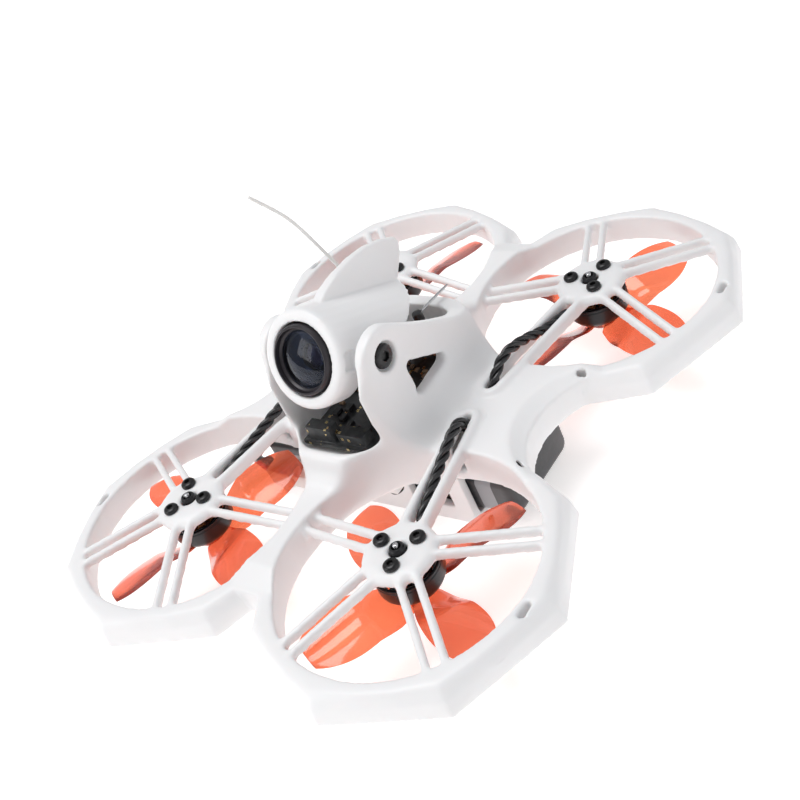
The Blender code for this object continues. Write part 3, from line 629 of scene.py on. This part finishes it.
seats = []
for corner in ROTORS:
    seats += [((x, y, HUB_TOP + 0.03), (0, 0, 0.7 * n)) for n, (x, y) in enumerate(screw_places(corner))]
hub_screws = set_copies(socket_screw(1.24, 0.45, 2.5, "screw"), seats, oxide, "hub_screws")
finish_piece(hub_screws, "hub_screws", oxide, "airframe",
             [f"motor_screw_{corner}_{n}" for corner in ROTORS for n in (1, 2, 3)])
tray_seats = []
for number in range(1, 5):
    low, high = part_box(f"tray_screw_{number}")
    middle = (low + high) / 2 / MM
    tray_seats.append(((middle.x, middle.y, low.z / MM + 0.8), (math.pi, 0, 0.4 * number)))
tray_screws = set_copies(socket_screw(1.24, 0.45, 6.5, "screw"), tray_seats, oxide, "tray_screws")
finish_piece(tray_screws, "tray_screws", oxide, "airframe",
             [f"tray_screw_{n}" for n in range(1, 5)])


# ---------------------------------------------------------------------------------------
# Motor leads: three fine wires in black silicone, twisted together, laid in the slot of
# the hub's first arm, over the raised end of the slot and down to the board.
def smooth_route(points, spacing):
    """Catmull-Rom curve through given points, sampled about evenly."""
    knots = [Vector(p) for p in points]
    knots = [knots[0] * 2 - knots[1]] + knots + [knots[-1] * 2 - knots[-2]]
    route = []
    for a, b, c, d in zip(knots, knots[1:], knots[2:], knots[3:]):
        steps = max(1, round((c - b).length / spacing))
        for i in range(steps):
            t = i / steps
            route.append(0.5 * (2 * b + (c - a) * t + (2 * a - 5 * b + 4 * c - d) * t * t
                                + (3 * b - a - 3 * c + d) * t ** 3))
    route.append(knots[-2])
    return route


def sweep(route, radius, name, sides=12, offset=0.0, phase=0.0, pitch=7.0):
    """Round wire along a route; with an offset it winds round the route."""
    side = None
    travelled = 0.0
    line = []
    for i, point in enumerate(route):
        ahead = (route[min(i + 1, len(route) - 1)] - route[max(i - 1, 0)]).normalized()
        start = Vector((0, 0, 1)) if side is None else side
        side = (start - ahead * start.dot(ahead)).normalized()
        other = ahead.cross(side)
        if i:
            travelled += (point - route[i - 1]).length
        turn = phase + math.tau * travelled / pitch
        line.append(point + (side * math.cos(turn) + other * math.sin(turn)) * offset)
    rings = []
    side = None
    for i, point in enumerate(line):
        ahead = (line[min(i + 1, len(line) - 1)] - line[max(i - 1, 0)]).normalized()
        start = Vector((0, 0, 1)) if side is None else side
        side = (start - ahead * start.dot(ahead)).normalized()
        other = ahead.cross(side)
        swell = radius * (0.75 if i in (0, len(line) - 1) else 1.0)
        rings.append([point + (side * math.cos(a) + other * math.sin(a)) * swell
                      for a in [math.tau * k / sides for k in range(sides)]])
    return loft(rings, name)


def silicone(name, dark, light):
    made = Finish(name, {"Coat Roughness": 0.12})
    skin = made.noise(0.5, 3.0)
    made.set(colour=made.blend(skin, dark, light), rough=0.22 + 0.14 * skin, coat=0.35)
    made.set(normal=made.bump(skin, 0.015))
    return made.material


black_silicone = silicone("black_silicone", (0.008, 0.008, 0.009, 1.0), (0.022, 0.021, 0.022, 1.0))
red_silicone = silicone("red_silicone", (0.50, 0.008, 0.006, 1.0), (0.72, 0.02, 0.012, 1.0))
for corner, (across_sign, along_sign) in ROTORS.items():
    cx = across_sign * ROTOR_X
    cy = along_sign * ROTOR_Y
    angle = math.radians(100)
    bearing = math.atan2(-along_sign * math.sin(angle), across_sign * math.cos(angle))
    way = Vector((math.cos(bearing), math.sin(bearing), 0))
    rise = 0.6 if along_sign < 0 else 1.5
    stations = ((6.9, -2.2), (9.0, -1.7), (13.0, -0.9), (18.0, rise - 0.6), (22.0, rise), (25.0, 0.2),
                (26.9, -1.9), (27.0, -3.4))
    knots = [Vector((cx, cy, HUB_TOP + z)) + way * r for r, z in stations]
    knots.append(Vector((across_sign * 15.0, along_sign * 2.6, HUB_TOP - 3.9)))
    knots.append(Vector((across_sign * 13.4, along_sign * 2.8, HUB_TOP - 4.5)))
    route = smooth_route(knots, 0.45)
    strands = [sweep(route, 0.40, "strand", 10, 0.50, math.tau * k / 3) for k in range(3)]
    finish_piece(joined(strands, "leads"), f"motor_leads_{corner}", black_silicone, "airframe",
                 [f"motor_leads_{corner}"], 60.0)


# ---------------------------------------------------------------------------------------
# Camera pod: a white nylon shroud round the camera with a swept crest fin.  It clips
# between the canopy cheeks on two black screws, on which it can be tilted.
TILT = math.radians(27.0)
PIVOT = Vector((0.0, -7.6, HUB_TOP + 14.5))
POD = Matrix.Translation(PIVOT) @ Matrix.Rotation(-TILT, 4, "X")
ALONG_POD = POD @ Matrix.Rotation(math.radians(90), 4, "X")


def placed(made, matrix):
    """Move a mesh's points by a matrix in millimetres."""
    scaled = matrix.copy()
    scaled.translation = matrix.translation * MM
    made.data.transform(scaled)
    return made


shroud = moulded(copy_of("camera_pod", "shroud"), 0.22, 5, 0.5)
finish_piece(shroud, "camera_shroud", nylon, "camera", ["camera_pod"], 180.0)
for side, name in ((1, "pivot_screw_left"), (-1, "pivot_screw_right")):
    screw = socket_screw(1.98, 0.5, 5.0, "screw", 36)
    placed(screw, POD @ Matrix.Rotation(math.radians(90 * side), 4, "Y") @ Matrix.Translation((0, 0, 10.4)))
    finish_piece(screw, f"head_{name}", oxide, "camera", [name])


# ---------------------------------------------------------------------------------------
# Camera: a black housing behind a wide lens.  The lens ring is turned and dark anodised,
# its front glass is domed, and stepped baffles lead down to the small inner elements.
def lens_anodised():
    made = Finish("lens_anodised", {"Coat Roughness": 0.2})
    turning = made.noise(0.4, 2.0)
    made.set(colour=made.blend(turning, (0.020, 0.017, 0.021, 1.0), (0.038, 0.033, 0.038, 1.0)),
             rough=0.32 + 0.12 * turning, metal=0.3, coat=0.08)
    made.set(normal=made.bump(turning, 0.006))
    return made.material


def baffle_black():
    made = Finish("baffle_black", {})
    rings = made.noise(0.3, 2.0)
    made.set(colour=made.blend(rings, (0.004, 0.004, 0.005, 1.0), (0.012, 0.012, 0.016, 1.0)),
             rough=0.35 + 0.2 * rings)
    return made.material


def coated_glass(name, tint, roughness, transmission):
    made = Finish(name, {"Transmission Weight": transmission, "IOR": 1.25, "Coat Roughness": 0.02,
                         "Specular IOR Level": 0.35})
    film = made.noise(4.0, 1.0)
    facing = made.add("ShaderNodeLayerWeight", {}, {"Blend": 0.5}, "Facing")
    edge = mix_tone(tint, 0.45)
    made.set(colour=made.blend(facing, made.blend(film, tint, mix_tone(tint, 0.8)), edge), rough=roughness,
             coat=0.12)
    return made.material


anodised = lens_anodised()
baffle = baffle_black()
front_glass = coated_glass("front_glass", (0.55, 0.62, 0.80, 1.0), 0.01, 1.0)
inner_glass = coated_glass("inner_glass", (0.020, 0.010, 0.040, 1.0), 0.06, 0.0)
ring_glass = coated_glass("ring_glass", (0.008, 0.020, 0.045, 1.0), 0.10, 0.0)
ring = lathe(((4.6, 1.0), (5.4, 1.0), (5.64, 1.1), (5.64, 6.3), (5.56, 6.62), (5.38, 6.88), (5.2, 6.96),
              (5.06, 6.9), (5.0, 6.6), (4.94, 6.2), (4.78, 6.0), (4.6, 5.9)), 96, name="ring", closed=True)
placed(ring, ALONG_POD)
finish_piece(ring, "lens_ring", anodised, "camera", ["lens_barrel"], 30.0)
steps = lathe(((0.4, 2.2), (1.5, 2.2), (1.5, 3.1), (2.1, 3.15), (2.1, 3.8), (2.9, 3.9), (2.9, 4.5),
               (3.8, 4.6), (3.8, 5.2), (4.3, 5.3), (4.3, 5.72), (4.6, 5.76), (4.6, 1.6), (0.4, 1.6)), 72,
              name="steps", closed=True)
placed(steps, ALONG_POD)
finish_piece(steps, "lens_baffles", baffle, "camera", (), 25.0)
dome = lathe(((0.05, 6.88), (0.9, 6.86), (1.8, 6.76), (2.7, 6.58), (3.5, 6.34), (4.2, 6.06), (4.56, 5.88),
              (4.56, 5.84), (4.1, 5.88), (3.4, 6.1), (2.6, 6.34), (1.7, 6.5), (0.9, 6.58), (0.05, 6.6)), 96,
             name="dome")
placed(dome, ALONG_POD)
finish_piece(dome, "lens_front_glass", front_glass, "camera", ["lens_glass"], 60.0)
middle = lathe(((0.05, 4.3), (0.6, 4.26), (1.2, 4.1), (1.7, 3.85), (2.0, 3.5), (1.5, 3.0), (0.05, 3.0)), 64,
               name="middle")
placed(middle, ALONG_POD)
finish_piece(middle, "lens_inner_glass", inner_glass, "camera", (), 60.0)
wide = lathe(((2.0, 4.2), (2.5, 4.7), (3.1, 4.95), (3.8, 5.1), (4.2, 5.15), (4.2, 5.0), (3.4, 4.86),
              (2.6, 4.56), (2.1, 4.0)), 72, name="wide", closed=True)
placed(wide, ALONG_POD)
finish_piece(wide, "lens_ring_glass", ring_glass, "camera", (), 60.0)


def moulded_black():
    made = Finish("moulded_black", {"Coat Roughness": 0.4})
    grain = made.noise(0.18, 2.0)
    made.set(colour=made.blend(grain, (0.012, 0.012, 0.013, 1.0), (0.03, 0.03, 0.031, 1.0)),
             rough=0.38 + 0.2 * grain)
    made.set(normal=made.bump(grain, 0.02))
    return made.material


black_plastic = moulded_black()


def bevelled(node, name, material, body, width, segments=2):
    """A CAD node's shape with broken edges."""
    made = copy_of(node, name)
    shape = bmesh.new()
    shape.from_mesh(made.data)
    bmesh.ops.dissolve_limit(shape, angle_limit=math.radians(2.0), verts=shape.verts, edges=shape.edges)
    shape.to_mesh(made.data)
    shape.free()
    edge = made.modifiers.new("edge", "BEVEL")
    edge.width = width * MM
    edge.segments = segments
    edge.limit_method = "ANGLE"
    edge.angle_limit = math.radians(40)
    edge.use_clamp_overlap = True
    settle(made)
    return finish_piece(made, name, material, body, [node], 40.0)


bevelled("camera_body", "camera_housing", black_plastic, "camera", 0.25)


# ---------------------------------------------------------------------------------------
# Boards: two black circuit boards with their chips, pads and fine traces.  The lower one
# is clamped under the deck, the upper one stands on its plug inside the canopy.
def circuit():
    made = Finish("circuit_board", {"Coat Roughness": 0.1})
    pads = made.add("ShaderNodeTexVoronoi", {"distance": "CHEBYCHEV"}, {"Vector": made.place, "Scale": 850.0})
    pad = made.step(pads, 0.24, 0.20)
    spread = made.noise(4.0, 1.0) > 0.52
    gold = pad * spread
    base = made.blend(made.noise(2.0), (0.010, 0.011, 0.012, 1.0), (0.020, 0.022, 0.024, 1.0))
    traced = made.blend(made.step(made.noise(1.1, 1.0), 0.49, 0.51) * 0.5, base, (0.035, 0.038, 0.040, 1.0))
    made.set(colour=made.blend(gold, traced, (0.80, 0.62, 0.30, 1.0)), rough=0.42 - 0.16 * gold, metal=gold,
             coat=0.25)
    made.set(normal=made.bump(gold, 0.02))
    return made.material


def solder():
    made = Finish("solder", {"Metallic": 0.9})
    skin = made.noise(0.4, 2.0)
    made.set(colour=made.blend(skin, (0.55, 0.55, 0.55, 1.0), (0.78, 0.77, 0.75, 1.0)),
             rough=0.2 + 0.2 * skin)
    return made.material


def ceramic():
    made = Finish("chip_ceramic", {})
    skin = made.noise(0.4, 2.0)
    made.set(colour=made.blend(skin, (0.22, 0.13, 0.075, 1.0), (0.36, 0.24, 0.15, 1.0)),
             rough=0.4 + 0.2 * skin)
    return made.material


circuit_black = circuit()
solder_tin = solder()
tan_ceramic = ceramic()
BOARD_TOP = HUB_TOP - 4.0
UPPER_TOP = HUB_TOP + 1.3
bevelled("flight_controller", "lower_board", circuit_black, "airframe", 0.08, 1)
bevelled("video_transmitter", "upper_board", circuit_black, "airframe", 0.08, 1)


def brick(width, depth, height, name="brick", ease=0.06):
    """Small block on height 0 with eased top edges."""
    rings = []
    for inset, level_z in ((0.0, 0.0), (0.0, height - ease), (ease, height)):
        w, d = width / 2 - inset, depth / 2 - inset
        rings.append([(-w, -d, level_z), (w, -d, level_z), (w, d, level_z), (-w, d, level_z)])
    return loft(rings, name)


def scatter(seed, count, area, keep_off, gap):
    """Seeded places on a board, apart from each other and off the big chips."""
    chance = random.Random(seed)
    found = []
    while len(found) < count:
        x = chance.uniform(area[0], area[1])
        y = chance.uniform(area[2], area[3])
        turned = chance.choice((0.0, math.pi / 2))
        clear = all(not (a - gap < x < b + gap and c - gap < y < d + gap) for a, b, c, d in keep_off)
        if clear and all(abs(x - p[0]) + abs(y - p[1]) > gap * 2.4 for p, _ in found):
            found.append(((x, y, area[4]), (0, 0, turned)))
    return found


upper_area = (-7.0, 7.0, -6.5, 8.8, UPPER_TOP - 0.02)
upper_off = ((-3.4, 3.4, -4.2, 2.2), (0.4, 6.0, 5.0, 8.8), (4.6, 6.6, 7.2, 9.4), (-7.0, -5.6, 7.6, 9.6))
small = set_copies(brick(0.9, 0.5, 0.4), scatter(5, 34, upper_area, upper_off, 0.42), tan_ceramic, "small")
finish_piece(small, "upper_capacitors", tan_ceramic, "airframe")
chips = set_copies(brick(1.7, 1.3, 0.6), scatter(9, 9, upper_area, upper_off, 1.05), black_plastic, "chips")
finish_piece(chips, "upper_chips", black_plastic, "airframe")
lower_area = (-8.0, 8.0, -11.5, -4.6, BOARD_TOP - 0.02)
lower_off = ((0.0, 3.6, -10.0, -6.4), (-8.6, -4.4, -9.2, -5.8), (-6.6, -3.8, -14.2, -11.2),
             (3.8, 6.6, -14.2, -11.2))
nose_area = (-6.8, 6.8, -12.0, -7.2, UPPER_TOP - 0.02)
nose_off = ((-1.0, 1.0, -9.0, -7.2),)
nose_seats = scatter(21, 8, nose_area, nose_off, 1.0)
nose_parts = set_copies(brick(1.5, 1.1, 0.7), nose_seats, black_plastic, "parts")
finish_piece(nose_parts, "nose_chips", black_plastic, "airframe")
beads = set_copies(brick(0.8, 0.8, 0.35), scatter(3, 16, lower_area, lower_off, 0.5), solder_tin, "beads")
finish_piece(beads, "lower_solder_pads", solder_tin, "airframe")


def pressed_steel():
    made = Finish("pressed_steel", {"Metallic": 1.0})
    roll_lines = made.noise(0.8, 3.0, (1.0, 10.0, 1.0))
    made.set(colour=made.blend(roll_lines, (0.52, 0.52, 0.53, 1.0), (0.72, 0.72, 0.73, 1.0)),
             rough=0.24 + 0.2 * roll_lines)
    made.set(normal=made.bump(roll_lines, 0.008))
    return made.material


def milky_nylon():
    made = Finish("milky_nylon", {"Subsurface Weight": 0.2, "Subsurface Radius": (1.0, 0.9, 0.8),
                                  "Subsurface Scale": 0.001})
    cloudy = made.noise(2.0, 3.0)
    made.set(colour=made.blend(cloudy, (0.72, 0.71, 0.69, 1.0), (0.86, 0.85, 0.83, 1.0)),
             rough=0.28 + 0.2 * cloudy)
    made.set(normal=made.bump(cloudy, 0.02))
    return made.material


def flex_circuit():
    made = Finish("flex_circuit", {"Coat Roughness": 0.1})
    tracks = made.add("ShaderNodeTexWave", {"bands_direction": "X"},
                      {"Vector": made.place, "Scale": 420.0, "Distortion": 0.0})
    line = made.step(tracks, 0.45, 0.55)
    made.set(colour=made.blend(line, (0.20, 0.050, 0.020, 1.0), (0.62, 0.20, 0.06, 1.0)),
             rough=0.30 + 0.12 * line, coat=0.4)
    made.set(normal=made.bump(line, 0.02))
    return made.material


stamped = pressed_steel()
milky = milky_nylon()
flex = flex_circuit()
bevelled("usb_port", "usb_shell", stamped, "airframe", 0.06)
bevelled("bind_switch", "bind_switch_can", stamped, "airframe", 0.08)
bevelled("bind_button", "bind_cap", milky, "bind_key", 0.08)
bevelled("camera_ribbon", "camera_flex", flex, "airframe", 0.04, 1)


# ---------------------------------------------------------------------------------------
# Antennas: a long white whip of coated wire that curves forward over the canopy, and a
# short steel stick from a black sleeve, both soldered to the upper board.
FOOT = UPPER_TOP + 0.3
whip_knots = [(-6.4, 8.6, FOOT), (-6.5, 8.6, FOOT + 6), (-7.2, 7.9, FOOT + 15), (-7.8, 6.0, FOOT + 22.4),
              (-8.1, 3.2, FOOT + 29.8), (-8.4, -1.4, FOOT + 37)]
whip = sweep(smooth_route(whip_knots, 1.2), 0.30, "whip", 12)
finish_piece(whip, "whip_wire", milky, "airframe", ["whip_antenna"], 60.0)
stick_knots = [(3.6, 10.0, FOOT + 6.6), (3.6, 13.4, FOOT + 6.3), (3.6, 17.8, FOOT + 5.8)]
stick = sweep(smooth_route(stick_knots, 1.0), 0.24, "stick", 12)
finish_piece(stick, "stick_wire", steel, "airframe", ["short_antenna_rod"], 60.0)
sleeve = lathe(((0.5, FOOT), (0.75, FOOT + 0.05), (0.75, FOOT + 4.9), (0.84, FOOT + 5.3), (0.9, FOOT + 5.6),
                (0.9, FOOT + 6.9), (0.8, FOOT + 7.15), (0.5, FOOT + 7.2)), 24, (3.6, 8.8), "sleeve")
finish_piece(sleeve, "stick_sleeve", black_silicone, "airframe", ["short_antenna_base"])


# ---------------------------------------------------------------------------------------
# Battery and tray: a one-cell pack in dark shrink wrap pushed through a white nylon tray
# under the body, and its plug and short silicone leads at the drone's right.
tray = moulded(copy_of("battery_tray", "tray"), 0.3, 3, 0.4)
finish_piece(tray, "battery_cradle", nylon, "airframe", ["battery_tray"], 180.0)


def shrink_wrap():
    made = Finish("shrink_wrap", {"Coat Roughness": 0.2})
    wrinkles = made.noise(3.5, 4.0, (0.35, 1.0, 1.0))
    along = made.add("ShaderNodeSeparateXYZ", {}, {"Vector": made.place}, "X")
    edge = 0.1 * MM
    stripe_from = 17.6 * MM
    stripe_to = 20.6 * MM
    past_start = made.step(along, stripe_from, stripe_from + edge)
    past_end = made.step(along, stripe_to, stripe_to + edge)
    stripe = past_start * (1 - past_end)
    base = made.blend(wrinkles, (0.022, 0.023, 0.026, 1.0), (0.050, 0.051, 0.056, 1.0))
    made.set(colour=made.blend(stripe, base, (0.30, 0.31, 0.33, 1.0)), rough=0.30 + 0.2 * wrinkles, coat=0.25)
    made.set(normal=made.bump(wrinkles, 0.12))
    return made.material


wrap = shrink_wrap()
WRAP_ROUND = 1.4
battery_low, battery_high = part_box("battery")
middle = (battery_low + battery_high) / 2 / MM
half = (battery_high - battery_low) / 2 / MM
rings = []
for x, inset in ((-1.0, 1.1), (-0.992, 0.55), (-0.975, 0.2), (-0.95, 0.0), (-0.93, 0.06), (-0.5, 0.0),
                 (0.0, 0.03), (0.5, 0.0), (0.93, 0.06), (0.95, 0.0), (0.975, 0.2), (0.992, 0.55), (1.0, 1.1)):
    outline = []
    for sy, sz, first in ((1, 1, 0), (-1, 1, 90), (-1, -1, 180), (1, -1, 270)):
        for k in range(7):
            angle = math.radians(first + 15 * k)
            outline.append((middle.x + x * half.x,
                            sy * (half.y - WRAP_ROUND - inset) + WRAP_ROUND * math.cos(angle),
                            middle.z + sz * (half.z - WRAP_ROUND - inset) + WRAP_ROUND * math.sin(angle)))
    rings.append(outline)
finish_piece(loft(rings, "cell"), "battery_cell", wrap, "battery_pack", ["battery"], 40.0)
bevelled("battery_plug", "plug_housing", milky, "battery_pack", 0.3, 3)
bevelled("board_socket", "socket_housing", milky, "airframe", 0.3, 3)
PLUG_Z = HUB_TOP - 10.2
for shade, material, off in (("red", red_silicone, -0.95), ("black", black_silicone, 0.95)):
    out = [(-21.8, -13.5), (-24.0, -13.4), (-28.0, -12.2), (-31.2, -9.0), (-32.2, -5.4), (-31.6, -2.4),
           (-29.4, -1.4)]
    drop = (0.0, 0.0, -0.3, -1.4, -2.4, -3.0, -3.1)
    loop = smooth_route([(x, y, PLUG_Z + d + off) for (x, y), d in zip(out, drop)], 0.6)
    finish_piece(sweep(loop, 0.72, "lead", 14), f"pack_lead_{shade}", material, "battery_pack",
                 [f"battery_lead_{shade}"], 60.0)
    bend = 2.3 - off * 0.9
    back = []
    for degrees, climb in ((-90, 0.0), (-60, 0.3), (-30, 0.9), (0, 2.0)):
        angle = math.radians(degrees)
        back.append((-11.3 + bend * math.cos(angle), -11.2 + bend * math.sin(angle), PLUG_Z + climb))
    back += [(-11.3 + bend, y, HUB_TOP - 5.0 - d) for y, d in ((-11.0, 2.0), (-10.3, 1.3), (-9.0, 1.1))]
    finish_piece(sweep(smooth_route(back, 0.6), 0.67, "lead", 14), f"body_lead_{shade}", material, "airframe",
                 [f"board_lead_{shade}"], 60.0)
